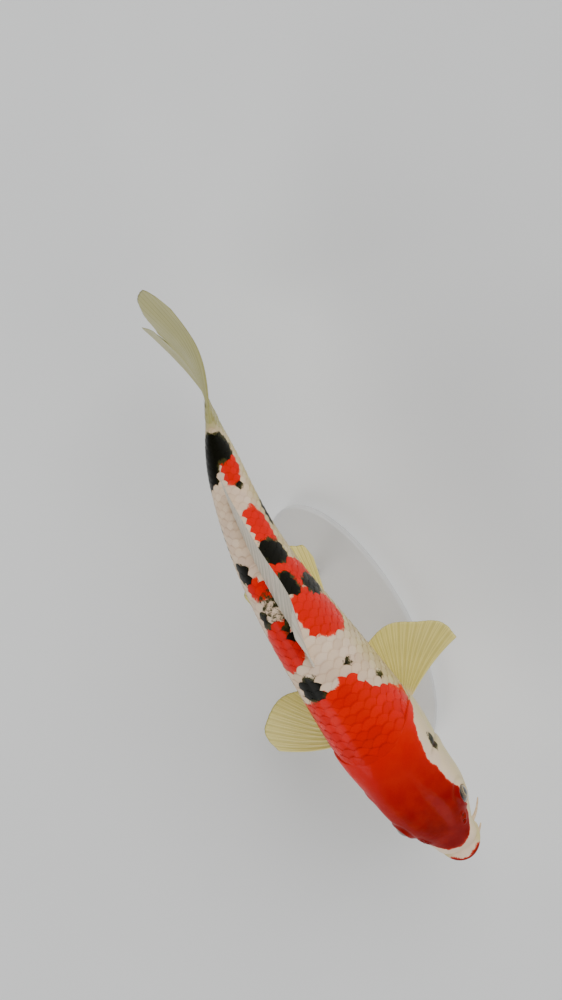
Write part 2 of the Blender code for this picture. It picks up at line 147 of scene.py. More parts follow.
def spine(place):
    """(point, direction towards the tail, direction towards the fish's left) of the spine."""
    place = np.asarray(place, float)
    marks = np.arange(len(SPINE))
    x, y = np.interp(place, marks, SPINE[:, 0]), np.interp(place, marks, SPINE[:, 1])
    turn, none = heading(place), np.zeros_like(place)
    back = np.stack([np.sin(turn), np.cos(turn), none], -1)
    point = np.stack([x, y, none + AXIS_HEIGHT], -1) + back * np.minimum(place, 0)[..., None]
    return point, back, np.stack([np.cos(turn), -np.sin(turn), none], -1)


def wedge_length(angle):
    """How far the flesh runs on past the body's end. Its edge is rounded, furthest back half way up."""
    return WEDGE * (0.25 + 0.75 * np.abs(np.sin(np.radians(angle))) ** 0.8)


def tail_roll(lobe, u, v):
    half_way, tip = TAIL_TWIST[lobe]
    return np.radians(mix(half_way, tip, ease(0.4, 1.0, v)) * mix(0.8, 1.0, u)) * ease(-0.35, 0.7, v)


def end_roll(place, z):
    """How far the tail fin is turned at this place and height, so that the flesh turns with it."""
    reach = place - TAIL_ROOT
    u = np.clip(np.abs(z) / (TAIL_HALF_ROOT + 0.5 * np.maximum(reach, 0)), 0, 1)
    run = np.cos(np.radians(TAIL_FAN) * u)
    below, above = (tail_roll(lobe, u, reach / (along(TAIL_RAYS[lobe], u) * run)) for lobe in (-1, 1))
    return mix(below, above, ease(-1, 1, z))


def skin(place, angle):
    """Points of the construction's body surface. Past its end the body narrows to an edge."""
    centre, _, side = spine(place)
    turn = np.radians(angle)
    across, upright = np.sin(turn), np.cos(turn)
    on_back = upright >= 0
    height = np.where(on_back, along(BACK, place), along(BELLY, place))
    power = 2 / np.where(on_back, along(BACK_SQUARENESS, place), along(BELLY_SQUARENESS, place))
    rounded = np.sqrt(np.clip(1 - np.clip(1 - place / NOSE, 0, 1) ** 2, 0, 1))
    wedge = mix(1.0, WEDGE_EDGE, 1 - (1 - np.clip((place - BODY_END) / wedge_length(angle), 0, 1)) ** 1.6)
    x = along(HALF_WIDTH, place) * rounded * wedge * np.sign(across) * np.abs(across) ** power
    z = height * rounded * np.sign(upright) * np.abs(upright) ** power
    roll = end_roll(place, z)
    x, z = x * np.cos(roll) + z * np.sin(roll), z * np.cos(roll) - x * np.sin(roll)
    return centre + side * x[..., None] + UP * (along(LEVEL, place) + z)[..., None]


def unit(vectors):
    return vectors / np.maximum(np.linalg.norm(vectors, axis=-1, keepdims=True), 1e-9)


def skin_normal(place, angle):
    inside = np.clip(place, 0.3, BODY_END)
    forwards = skin(inside + 0.25, angle) - skin(inside - 0.25, angle)
    round_it = skin(inside, angle + 1.0) - skin(inside, angle - 1.0)
    tip = (1 - ease(0.0, 0.9, place))[..., None]
    return unit(mix(unit(np.cross(round_it, forwards)), -spine(inside)[1], tip))


def outward(place, angle):
    """The direction at this angle round the spine."""
    turn = np.radians(angle)[..., None]
    return UP * np.cos(turn) + spine(place)[2] * np.sin(turn)


def gill_line(angle):
    """Where the head ends: behind the gill covers at the sides, at the nape and at the throat."""
    turn = np.radians(angle)
    return mix(np.where(np.cos(turn) > 0, NAPE, THROAT), GILL_EDGE, np.sin(turn) ** 2)


def lip_route(front, corner_place, half_width, corner_drop):
    """A line from the mouth's right corner round the snout to its left one, for t from 0 to 1."""
    front_place, front_height = front

    def route(t):
        swing = np.radians(mix(-90, 90, np.asarray(t, float)))
        inwards = 1 - np.cos(swing)
        centre, _, side = spine(mix(front_place, corner_place, inwards))
        drop = front_height - corner_drop * inwards
        return centre + side * (half_width * np.sin(swing))[..., None] + UP * drop[..., None]

    return route


UPPER_LIP = lip_route((-1.9, -5.0), 8.0, 9.2, 5.6)
LOWER_LIP = lip_route((0.2, -10.0), 8.0, 8.2, 3.4)
LIPS = ((UPPER_LIP, 2.4, 1.4), (LOWER_LIP, 2.1, 1.2))  # route, radius in the middle and at a corner
MOUTH_SLIT = lip_route((0.1, -7.7), 8.4, 8.6, 4.3)  # on the snout behind the lips

# ---------------------------------------------------------------- the markings

# The red cap: its borders' angles on the left and right, by place, and the places where it ends, by angle.
CAP_LEFT = (
    (4, 34), (8, 52), (11, 61), (14, 67), (18, 68), (21, 64), (25, 61), (28, 63), (31, 60), (33, 55),
    (36, 51), (42, 51), (48, 46), (52, 49), (56, 52), (60, 56), (64, 62), (66, 71), (68, 80), (72, 88),
    (77, 95), (90, 99),
)
CAP_RIGHT = ((4, -40), (9, -52), (15, -70), (24, -80), (40, -88), (70, -97), (100, -92))
CAP_FRONT = (
    (-80, 26), (-60, 15), (-49, 11.5), (-40, 8.8), (-30, 7.1), (-19, 5.5), (-10, 4.6), (0, 4.0),
    (12, 4.4), (26, 5.1), (38, 6.6), (50, 8.3), (60, 11), (70, 16),
)
CAP_REAR = (
    (-130, 84), (-80, 92), (-45, 96), (-34, 95.5), (-22, 97), (-8, 98), (5, 96.5), (11, 96), (20, 98),
    (26, 98.3), (33, 96.6), (39, 94.6), (44, 91), (48, 87), (60, 84), (70, 81.6), (80, 78.6), (94, 76),
    (110, 72),
)

# Patches: place, angle, half their length, half their angle, and how far they slant, in mm for each degree.
RED_PATCHES = {
    "right side behind the shoulder": (121.5, -25, 11.0, 34, 0.05),
    "small one on the right": (146.5, -10, 4.6, 30, -0.06),
    "large one on the left": (125, 57.5, 12.0, 38.5, -0.06),
    "left one among the black": (146, 66, 7.5, 42, -0.09),
    "rear of the left side": (171, 52, 9.2, 27, -0.10),
    "in front of the tail's black": (199, 38, 7.0, 31, 0.04),
    "low on the left belly": (112, 150, 7.0, 16, 0.0),
    "low on the right belly": (88, -142, 9.0, 18, 0.05),
}
BLACK_PATCHES = {
    "right shoulder": (100.3, -24, 5.6, 19, 0.0),
    "grey spot": (101.5, 41, 1.7, 6, 0.0),
    "brown spot": (87, 69, 1.8, 6, 0.0),
    "in the right red": (124, -1, 4.2, 10, 0.0),
    "beside the fin": (131.5, 8, 2.6, 5, 0.0),
    "right edge": (134.5, -32, 3.6, 8, 0.0),
    "beside the fin behind": (141.5, 3, 3.0, 5, 0.0),
    "beside the fin between": (137, 9, 2.4, 4, 0.0),
    "right side, rear": (155, -34, 5.0, 19, -0.04),
    "left, near the fin": (142.5, 42, 6.0, 17, -0.05),
    "left, lower": (136.5, 86, 6.0, 19, -0.05),
    "left, behind both": (158, 50, 6.4, 29, -0.06),
    "left, last": (175, 98, 7.0, 11, 0.12),
    "tail stalk": (209, 10, 6.8, 66, 0.0),
    "tail stalk, right": (204, -42, 11.5, 50, 0.06),
    "tail stalk, low": (209, -120, 6.0, 40, 0.0),
    "small line at the tail": (191, 44, 1.6, 12, 0.0),
    "on the gill cover": (51.5, 74, 3.8, 6.5, 0.06),
    "right flank": (117, -82, 7.0, 12, 0.14),
    "right flank, rear": (169, -72, 8.5, 15, -0.10),
}
MOTTLED = (138.5, -4, 7.0, 20, 0.0)  # where only specks of black come through
LIP_RED = (0.24, 0.72)  # the shares of the upper lip between which its front edge is red
LIP_RED_WIDTH, LIP_RED_AHEAD, LIP_RED_UP = 2.2, 2.1, 1.0
HEAD_MM_PER_DEGREE, PATCH_MM_PER_DEGREE = 0.33, 0.32  # about how far apart two angles lie on the body
PATCH_SQUARENESS = 2.4


def patch(place, angle, sizes):
    """About how many mm each point lies inside the patch."""
    middle_place, middle_angle, half_length, half_angle, slant = sizes
    beside = (angle - middle_angle + 180) % 360 - 180
    ahead = place - middle_place - slant * beside
    power = PATCH_SQUARENESS
    reach = np.sqrt((np.abs(ahead) / half_length) ** power + (np.abs(beside) / half_angle) ** power + 1e-9)
    return (1 - reach ** (2 / power)) * min(half_length, PATCH_MM_PER_DEGREE * half_angle)


def cap(place, angle):
    """About how many mm each point lies inside the red cap."""
    beside = np.minimum(along(CAP_LEFT, place) - angle, angle - along(CAP_RIGHT, place))
    inside = np.minimum(beside * HEAD_MM_PER_DEGREE, place - along(CAP_FRONT, angle))
    return np.minimum(inside, along(CAP_REAR, angle) - place)


def markings(place, angle, points):
    """The depths of the red and the black in their patches at each point, and the shares of other tones. The
    flanks' share is partly painted shade and painted reflection, and the snout's share is partly painted
    shade.
    """
    angle = (angle + 180) % 360 - 180
    red_patches = [patch(place, angle, sizes) for sizes in RED_PATCHES.values()]
    red = np.maximum.reduce([cap(place, angle)] + red_patches)
    if place.min() < NOSE:
        rim = UPPER_LIP(np.linspace(*LIP_RED, 15)) - spine(0.0)[1] * LIP_RED_AHEAD + UP * LIP_RED_UP
        red = np.maximum(red, LIP_RED_WIDTH - to_line(points, rim))
    black = np.maximum.reduce([patch(place, angle, sizes) for sizes in BLACK_PATCHES.values()])
    black = np.maximum(black, np.minimum(patch(place, angle, MOTTLED), -0.1))
    round_body = np.abs(angle)
    # flank: the share of the cream tone with painted shade and painted reflection, on the lower sides
    flank = ease(45, 95, round_body) * (1 - ease(125, 165, round_body))
    tail = ease(211, 220, place - 2 * np.cos(np.radians(angle)))
    # snout: the share of the deeper red and painted shade, strongest at the snout
    return {"red": red, "black": black, "flank": flank, "snout": 1 - ease(14, 86, place), "tail": tail}


# ---------------------------------------------------------------- making objects


def adopt(obj, replaced=()):
    """The object rides on the model's body, and stands for the CAD nodes that it replaces."""
    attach(obj, BODY)
    if replaced:
        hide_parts(*replaced)
    return obj


def object_from(name, bm, material):
    mesh = bpy.data.meshes.new(name)
    bm.to_mesh(mesh)
    bm.free()
    mesh.materials.append(material)
    mesh.shade_smooth()
    obj = bpy.data.objects.new(name, mesh)
    bpy.context.scene.collection.objects.link(obj)
    return obj


def shaped_grid(name, columns, rows, place, material, bake=None):
    """A grid whose points are moved to place(u, v), which gives points in mm and named values for each.
    Points that meet are joined. bake(u, v) gives the map that the finish is baked on."""
    bm = bmesh.new()
    bmesh.ops.create_grid(bm, x_segments=columns, y_segments=rows, size=0.5)
    shares = np.array([vertex.co[:2] for vertex in bm.verts]) + 0.5
    points, values = place(shares[:, 0], shares[:, 1])
    for key, numbers in values.items():
        layer = bm.verts.layers.float.new(key)
        for vertex, number in zip(bm.verts, numbers):
            vertex[layer] = number
    if bake:
        spots = np.stack(bake(shares[:, 0], shares[:, 1]), -1)
        layer = bm.loops.layers.uv.new("OFBake")
        bm.verts.index_update()
        for face in bm.faces:
            for loop in face.loops:
                loop[layer].uv = spots[loop.vert.index]
    for vertex, point in zip(bm.verts, points * MM):
        vertex.co = point
    bmesh.ops.remove_doubles(bm, verts=bm.verts, dist=2e-6)
    bmesh.ops.recalc_face_normals(bm, faces=bm.faces)
    return object_from(name, bm, material)


class Finish:
    """A material and short ways to add nodes to it."""

    def __init__(self, name, **sockets):
        self.material = bpy.data.materials.new(name)
        self.material.use_nodes = True
        self.tree = self.material.node_tree
        self.shader = self.tree.nodes["Principled BSDF"]
        for key, value in sockets.items():
            self.set(key.replace("_", " "), value)

    def set(self, socket, value):
        self.put(self.shader.inputs[socket], value)

    def put(self, socket, value):
        if isinstance(value, bpy.types.NodeSocket):
            self.tree.links.new(value, socket)
        elif socket.type == "RGBA" and len(value) == 3:
            socket.default_value = (*value, 1.0)
        else:
            socket.default_value = value

    def add(self, kind, inputs, output=0, **settings):
        node = self.tree.nodes.new("ShaderNode" + kind)
        for key, value in settings.items():
            setattr(node, key, value)
        for key, value in inputs.items():
            self.put(node.inputs[key], value)
        return node.outputs[output]

    def attribute(self, name):
        return self.add("Attribute", {}, "Fac", attribute_name=name)

    def math(self, operation, a, b=0.0):
        return self.add("Math", {0: a, 1: b}, operation=operation)

    def sum(self, *values):
        total = values[0]
        for value in values[1:]:
            total = self.math("ADD", total, value)
        return total

    def times(self, a, b):
        return self.math("MULTIPLY", a, b)

    def spread(self, value, low, high, out_low=0.0, out_high=1.0):
        numbers = {"Value": value, "From Min": low, "From Max": high, "To Min": out_low, "To Max": out_high}
        return self.add("MapRange", numbers, interpolation_type="SMOOTHSTEP")

    def blend(self, share, a, b):
        return self.add("Mix", {0: share, 6: a, 7: b}, 2, data_type="RGBA")

    def shaded(self, share, colour, dark):
        """The colour times a darker tint, by share."""
        return self.add("Mix", {0: share, 6: colour, 7: dark}, 2, data_type="RGBA", blend_type="MULTIPLY")

    def coordinates(self):
        return self.add("TexCoord", {}, "Object")

    def noise(self, scale, detail=2.0, roughness=0.5, distortion=0.0):
        """Noise about 0, with the scale in features to a metre."""
        inputs = {"Vector": self.coordinates(), "Scale": scale, "Detail": detail}
        inputs.update({"Roughness": roughness, "Distortion": distortion})
        return self.math("SUBTRACT", self.add("TexNoise", inputs), 0.5)

    def bump(self, height, distance, strength=1.0):
        inputs = {"Height": height, "Distance": distance, "Strength": strength}
        if self.shader.inputs["Normal"].is_linked:
            inputs["Normal"] = self.shader.inputs["Normal"].links[0].from_socket
        self.set("Normal", self.add("Bump", inputs))


# ---------------------------------------------------------------- finishes

# painted shade: the dark colour laid into the head's creases, slots, nostrils and eye sockets
PAINTED_CREASE_SHADE = (0.10, 0.025, 0.015)
# the flanks' cream: partly the fish's own yellowish tone, partly painted shade and painted reflection of
# green surroundings
WHITE, FLANK_CREAM_SHADE_REFLECTION = (0.88, 0.68, 0.48), (0.64, 0.54, 0.25)
# the red darkens towards the snout: partly the head's own deeper red, partly painted shade
RED, DEEP_RED_AND_SHADE, ORANGE = (0.80, 0.003, 0.0), (0.16, 0.0015, 0.0008), (0.80, 0.035, 0.004)
BLACK, OLIVE = (0.006, 0.006, 0.003), (0.06, 0.055, 0.015)
TAIL_OLIVE, TAIL_RAY = (0.40, 0.37, 0.12), (0.50, 0.47, 0.20)
BLUSH = (0.70, 0.52, 0.44)
# the root's colour is painted shade where each scale comes out from under the one before it
SCALE_ROOT_SHADE, SCALE_RIM_TINT, SCALE_TONE_TINT = (0.50, 0.36, 0.28), (0.80, 0.72, 0.64), (0.78, 0.70, 0.62)


def koi_colour(finish):
    """The white, red and black of skin and scales alike, from the same depths of the patches."""
    ragged = finish.sum(
        finish.times(finish.noise(330, 3), 2.6), finish.times(finish.noise(1300, 2), 1.0)
    )
    red = finish.math("ADD", finish.attribute("red"), ragged)
    fine = finish.sum(
        finish.times(finish.noise(420, 3, 0.6), 3.0), finish.times(finish.noise(1500, 2), 1.4)
    )
    black = finish.math("ADD", finish.attribute("black"), fine)
    cloud = finish.spread(finish.noise(120, 3), -0.15, 0.2)
    # the flanks get cream that is partly their own tone, partly painted shade and painted reflection
    white = finish.blend(finish.attribute("flank"), WHITE, FLANK_CREAM_SHADE_REFLECTION)
    white = finish.blend(finish.times(cloud, 0.35), white, BLUSH)
    # partly a deeper red on the head, partly painted shade towards the snout
    red_and_snout_shade = finish.blend(finish.times(finish.attribute("snout"), 0.92), RED, DEEP_RED_AND_SHADE)
    red_and_snout_shade = finish.blend(finish.times(cloud, 0.13), red_and_snout_shade, ORANGE)
    white = finish.blend(finish.attribute("tail"), white, TAIL_OLIVE)
    rim = finish.blend(finish.spread(red, 0.1, 1.3, 0.45, 1.0), ORANGE, red_and_snout_shade)
    colour = finish.blend(finish.spread(red, -0.35, 0.35), white, rim)
    dark = finish.blend(finish.spread(black, 0.1, 1.4), OLIVE, BLACK)
    return finish.blend(finish.spread(black, -0.4, 0.3), colour, dark)


def skin_finish():
    finish = Finish("wet_skin", Coat_Weight=0.05, Coat_Roughness=0.12, Specular_IOR_Level=0.05)
    # painted shade: the head's creases and hollows are darkened in the base colour
    crease_shade_share = finish.times(finish.attribute("crease"), 0.85)
    finish.set("Base Color", finish.blend(crease_shade_share, koi_colour(finish), PAINTED_CREASE_SHADE))
    finish.set("Roughness", finish.spread(finish.noise(900, 3), -0.3, 0.3, 0.28, 0.40))
    finish.bump(finish.noise(2600, 2), 0.00005, 0.6)
    finish.bump(finish.noise(450, 3), 0.00025, 0.5)
    return finish.material


def scale_finish():
    """A scale has painted shade near its root, where it comes out from under the scale before it, is a
    little darker at its rim, and is ringed with fine growth lines.
    """
    finish = Finish("wet_scales", Coat_Weight=0.04, Coat_Roughness=0.12, Specular_IOR_Level=0.05)
    colour = koi_colour(finish)
    depth = finish.attribute("along_scale")
    # painted shade near the root, under the rim of the scale before
    shade = finish.spread(depth, 0.35, 0.62, 0.55, 0.0)
    colour = finish.shaded(finish.times(shade, 0.75), colour, SCALE_ROOT_SHADE)
    rim = finish.spread(depth, 0.90, 1.0)
    colour = finish.shaded(finish.times(rim, 0.6), colour, SCALE_RIM_TINT)
    tone = finish.attribute("tone")
    colour = finish.shaded(finish.spread(tone, 0.0, 1.0, 0.0, 0.5), colour, SCALE_TONE_TINT)
    finish.set("Base Color", colour)
    finish.set("Roughness", finish.spread(finish.sum(tone, finish.noise(700, 2)), 0.0, 1.2, 0.26, 0.40))
    rings = finish.math("SINE", finish.times(depth, 95.0))
    finish.bump(rings, 0.000006, 0.3)
    finish.bump(finish.noise(2200, 2), 0.00004, 0.5)
    return finish.material


def fin_finish(name, membrane, ray, membrane_alpha, ray_alpha=0.97, root_colour=WHITE):
    """Translucent membrane between paler rays, more solid towards the root."""
    finish = Finish(name, Roughness=0.35, Coat_Weight=0.1, Coat_Roughness=0.15, Specular_IOR_Level=0.25)
    rays, root = finish.attribute("ray"), finish.attribute("root")
    cloud = finish.spread(finish.noise(160, 3), -0.25, 0.25)
    colour = finish.blend(finish.times(cloud, 0.4), membrane, [0.78 * part for part in membrane])
    colour = finish.blend(finish.times(rays, 0.75), colour, ray)
    colour = finish.blend(root, colour, root_colour)
    finish.set("Base Color", colour)
    solid = finish.math("MAXIMUM", rays, root)
    finish.set("Alpha", finish.spread(solid, 0.0, 0.9, membrane_alpha, ray_alpha))
    joints = finish.math("SINE", finish.times(finish.attribute("along_ray"), 210.0))
    finish.bump(finish.times(joints, rays), 0.00003, 0.5)
    finish.bump(finish.noise(1500, 3), 0.00008, 0.5)
    return finish.material


def eye_finish():
    """A dark pupil, a thin pale gold ring, and a dusky iris, all under a clear gloss."""
    finish = Finish("eye", Roughness=0.12, Coat_Weight=1.0, Coat_Roughness=0.015, Specular_IOR_Level=0.6)
    out = finish.sum(finish.attribute("from_pupil"), finish.times(finish.noise(900, 2), 1.2))
    flecks = finish.spread(finish.noise(2600, 3, 0.6, 0.4), -0.12, 0.12)
    iris = finish.blend(flecks, (0.035, 0.022, 0.010), (0.17, 0.105, 0.035))
    colour = finish.blend(finish.spread(out, 22.0, 23.5), (0.004, 0.004, 0.005), (0.50, 0.36, 0.14))
    colour = finish.blend(finish.spread(out, 25.0, 27.5), colour, iris)
    colour = finish.blend(finish.spread(out, 38.0, 43.0), colour, (0.02, 0.014, 0.008))
    finish.set("Base Color", colour)
    return finish.material


def barbel_finish():
    finish = Finish("barbel_skin", Roughness=0.35, Coat_Weight=0.1, Specular_IOR_Level=0.25)
    cloud = finish.spread(finish.noise(700, 3), -0.2, 0.2)
    finish.set("Base Color", finish.blend(cloud, (0.66, 0.45, 0.26), (0.76, 0.58, 0.38)))
    finish.bump(finish.noise(2500, 3), 0.00004, 0.5)
    return finish.material


def lacquer_finish():
    """Satin lacquer with a faint orange peel and a few fine scuffs."""
    finish = Finish("stand_lacquer", Specular_IOR_Level=0.5, Coat_Weight=0.25, Coat_Roughness=0.2)
    cloud = finish.spread(finish.noise(35, 4), -0.2, 0.2)
    finish.set("Base Color", finish.blend(cloud, (0.58, 0.575, 0.56), (0.63, 0.625, 0.61)))
    finish.set("Roughness", finish.spread(finish.noise(240, 4, 0.7), -0.2, 0.25, 0.34, 0.52))
    finish.bump(finish.noise(900, 2), 0.00004, 0.35)
    return finish.material


def steel_finish():
    """Steel finely brushed round the rods: the noise is squeezed along them."""
    finish = Finish("stand_steel", Metallic=1.0)
    inputs = {"Vector": finish.coordinates(), "Scale": (90.0, 90.0, 11000.0)}
    squeezed = finish.add("Mapping", inputs, vector_type="POINT")
    lines = finish.add("TexNoise", {"Vector": squeezed, "Scale": 1.0, "Detail": 2.0})
    finish.set("Base Color", finish.blend(lines, (0.56, 0.56, 0.55), (0.63, 0.63, 0.62)))
    finish.set("Roughness", finish.spread(lines, 0.3, 0.7, 0.28, 0.36))
    return finish.material


# ---------------------------------------------------------------- the skin

COAT = 0.5  # depth of the scales' coat, by which the skin lies inside the body's surface
SKIN_COLUMNS = 192
# How many rows of the skin lie in each of its bands, from the snout to the wedge in the tail fin.
SKIN_ROWS = {
    "nose": 40, "mouth": 36, "face": 50, "cheek": 50, "gill": 24, "neck": 26, "trunk": 124, "wedge": 16,
}
MOUTH_END, FACE_END, NECK_END = 16.0, 40.0, 95.0
GILL_BAND = 2.0  # on each side of the gill line
# How far the head's features rise, or how deep they are cut, and where they lie.
GILL_PLATE_RISE, GILL_SLOT_DEPTH = 0.65, 0.9
CHEEK_PLACE, CHEEK_BOW, CHEEK_RISE, CHEEK_GROOVE = 46.5, 4.0, 0.35, 0.42
COVER_PLACE, COVER_GROOVE, COVER_FAN = 50, 0.30, 0.07
EYE_RIM_RISE, EYE_GROOVE, SOCKET_DEPTH = 0.62, 0.30, 2.4
CHEEK_BONE_PLACE, CHEEK_BONE_ANGLE, CHEEK_BONE_RISE = 31.0, 96.0, 0.5
BROW_ANGLE, BROW_RISE, FOREHEAD_DIP = 52, 0.45, 0.25
NOSTRIL_GAP = 2.3  # between the front opening and the rear one
MOUTH_SLIT_DEPTH, MOUTH_FOLD_DEPTH = 2.4, 0.3


def to_line(points, line):
    """The distance of each point from the nearest point of a line."""
    return np.min(np.linalg.norm(points[:, None] - line[None], axis=-1), axis=1)


def out_to_lip(points, normals, route, middle, corner):
    """How far each point has to go along its normal to leave a lip, and -1 where it misses the lip."""
    share = np.linspace(0, 1, 101)
    away = route(share)[None] - points[:, None]
    ahead = np.einsum("ijk,ik->ij", away, normals)
    radius = mix(middle, corner, (2 * share - 1) ** 2) * (1 - 0.6 * ease(0.84, 1.0, np.abs(2 * share - 1)))
    room = radius**2 + ahead**2 - (away**2).sum(-1)
    return np.where(room > 0, ahead + np.sqrt(np.maximum(room, 0)), -1.0).max(axis=1)


def spot_distance(place, angle, spot_place, spot_angle, radius):
    return np.hypot(place - spot_place, np.radians(angle - spot_angle) * radius)


def off_back(angle):
    """The angle from the middle of the back, the same on both sides."""
    return np.abs((angle + 180) % 360 - 180)


def gill_opening(side):
    """1 at the sides, where the gill cover stands off the body, and 0 at the nape and at the throat."""
    return ease(36, 56, side) * (1 - ease(158, 176, side))


def gill_relief(place, angle):
    """The edge of the gill cover, the slot behind it and the step down under the scales."""
    side = off_back(angle)
    behind, opening = place - gill_line(side), gill_opening(side)
    step = mix(3.2, 0.4, opening)
    height = -COAT * ease(0, 1, (behind + 0.4 * step) / (1.4 * step))
    plate = ease(-17, -3, behind) * (1 - ease(-0.35, 0.0, behind))
    slot = opening * hill(behind, 0.45, 0.5)
    # the second value is painted shade in the slot behind the gill cover
    return height + GILL_PLATE_RISE * opening * plate - GILL_SLOT_DEPTH * slot, slot


def cheek_relief(place, angle):
    """The grooves behind the cheek and below the gill cover, and the faint fan on the cover."""
    side = off_back(angle)
    cheek = ease(50, 64, side) * (1 - ease(132, 150, side))
    cheek_line = CHEEK_PLACE + CHEEK_BOW * np.cos(np.radians((side - 92) * 1.6))
    groove = cheek * hill(place, cheek_line, 0.8)
    lower_line = 112 + 0.10 * (place - 56) ** 2
    ray_groove = hill(side, lower_line, 2.2) * ease(COVER_PLACE, 54, place) * (1 - ease(66, 69, place))
    height = CHEEK_RISE * cheek * hill(place, cheek_line - 3.0, 2.4) - CHEEK_GROOVE * groove
    fan = np.sin(np.degrees(np.arctan2((side - 78) * HEAD_MM_PER_DEGREE, place - COVER_PLACE)) * 0.42)
    ahead_of_edge = 1 - ease(-4, -1, place - gill_line(side))
    on_cover = gill_opening(side) * ease(COVER_PLACE, 56, place) * ahead_of_edge
    height += COVER_FAN * fan * on_cover - COVER_GROOVE * ray_groove
    # the second value is painted shade in the grooves
    return height, 0.35 * groove + 0.2 * ray_groove


def eye_relief(place, angle):
    """The socket in its raised rim, the bone below it, the brow above it and the dip between the brows."""
    side = off_back(angle)
    eye = spot_distance(place, side, EYE_PLACE, EYE_ANGLE, 16.5)
    height = EYE_RIM_RISE * hill(eye, 4.7, 1.0) - EYE_GROOVE * hill(eye, 7.2, 1.0)
    height -= SOCKET_DEPTH * (1 - ease(2.9, 3.9, eye))
    bone = spot_distance(place, side, CHEEK_BONE_PLACE, CHEEK_BONE_ANGLE, 18.0)
    height += CHEEK_BONE_RISE * hill(bone, 0, 6.5)
    height += BROW_RISE * hill(side, BROW_ANGLE, 9) * ease(16, 24, place) * (1 - ease(36, 48, place))
    height -= FOREHEAD_DIP * hill(side, 0, 9) * ease(10, 22, place) * (1 - ease(44, 60, place))
    # the second value is painted shade in the eye socket and the groove round it
    return height, 0.9 * (1 - ease(3.5, 4.3, eye)) + 0.15 * hill(eye, 7.2, 0.8)


def nostril_relief(place, angle):
    """Two openings on each side, each in a raised rim."""
    side = off_back(angle)
    front = spot_distance(place, side, NOSTRIL_PLACE, NOSTRIL_ANGLE, 12.0)
    rear = spot_distance(place, side, NOSTRIL_PLACE + NOSTRIL_GAP, NOSTRIL_ANGLE + 3, 12.5)
    height = 0.32 * hill(front, 1.4, 0.5) + 0.28 * hill(rear, 1.6, 0.5)
    height -= 1.0 * (1 - ease(0.0, 1.2, front)) + 0.9 * (1 - ease(0.0, 1.3, rear))
    # the second value is painted shade in the nostrils
    return height, (1 - ease(0.3, 0.9, front)) + (1 - ease(0.3, 1.0, rear))


def mouth_relief(place, angle):
    """The lips, the slit between them and the fold above them."""
    height, crease = np.zeros_like(place), np.zeros_like(place)
    near = np.flatnonzero(place < MOUTH_END + 3)
    points, normals = skin(place[near], angle[near]), skin_normal(place[near], angle[near])
    lip = np.maximum(*(out_to_lip(points, normals, *each) for each in LIPS))
    lip = (lip + np.sqrt(lip**2 + 0.3)) / 2 - 0.07
    share = np.linspace(0, 1, 61)
    slit = hill(to_line(points, MOUTH_SLIT(share)), 0, 0.6)
    fold = hill(to_line(points, UPPER_LIP(share)), 5.2, 0.7) * ease(6, 10, place[near])
    sunk = 0.2 * (1 - ease(10, MOUTH_END, place[near]))
    height[near] = (lip - sunk) * (1 - slit) - MOUTH_SLIT_DEPTH * slit - MOUTH_FOLD_DEPTH * fold
    # painted shade in the mouth's slit and in the fold above the lips
    crease[near] = slit + 0.15 * fold
    return height, crease


def relief(place, angle):
    """How far the skin stands out of the body's surface, in mm, and how much painted shade each point gets
    in the head's creases and hollows.
    """
    features = gill_relief, cheek_relief, eye_relief, nostril_relief, mouth_relief
    heights, crease_shades = zip(*(feature(place, angle) for feature in features))
    return sum(heights), np.clip(sum(crease_shades), 0, 1)


def at_full_depth(place):
    """1 along the body, and 0 where the flesh runs out in the tail fin and the coat lies right on it."""
    return 1 - ease(BODY_END - 2, BODY_END + 3, place)


def skin_place(angle, share):
    """The place of each row of the skin. Rows run along the gill line, close together there."""
    edge = gill_line(angle)
    stops = [0.0, NOSE, MOUTH_END, FACE_END, edge - GILL_BAND, edge + GILL_BAND, NECK_END, BODY_END]
    stops.append(BODY_END + wedge_length(angle))
    counts = np.cumsum([0, *SKIN_ROWS.values()])
    row = share * counts[-1]
    place = np.zeros_like(row)
    for i, (start, end) in enumerate(zip(stops, stops[1:])):
        inside = (row >= counts[i] - 1e-6) & (row <= counts[i + 1] + 1e-6)
        t = (row - counts[i]) / (counts[i + 1] - counts[i])
        if i == 0:
            t = 1 - np.cos(np.pi / 2 * t)
        place = np.where(inside, mix(start, end, t), place)
    return place


def make_skin(material):
    """One skin over the whole fish, from the lips to the wedge in the tail fin."""

    def place(u, v):
        angle = 360 * u - 180
        position = skin_place(angle, v)
        # the second value from relief is painted shade in the creases and hollows, for the skin's colour
        height, crease = relief(position, angle)
        height = height * at_full_depth(position)
        points = skin(position, angle) + skin_normal(position, angle) * height[:, None]
        return points, {**markings(position, angle, points), "crease": crease}

    rows = sum(SKIN_ROWS.values())
    whole = shaped_grid("skin", SKIN_COLUMNS, rows, place, material, bake=lambda u, v: (v, u))
    adopt(whole, FLESH_NODES)


# ---------------------------------------------------------------- the scales

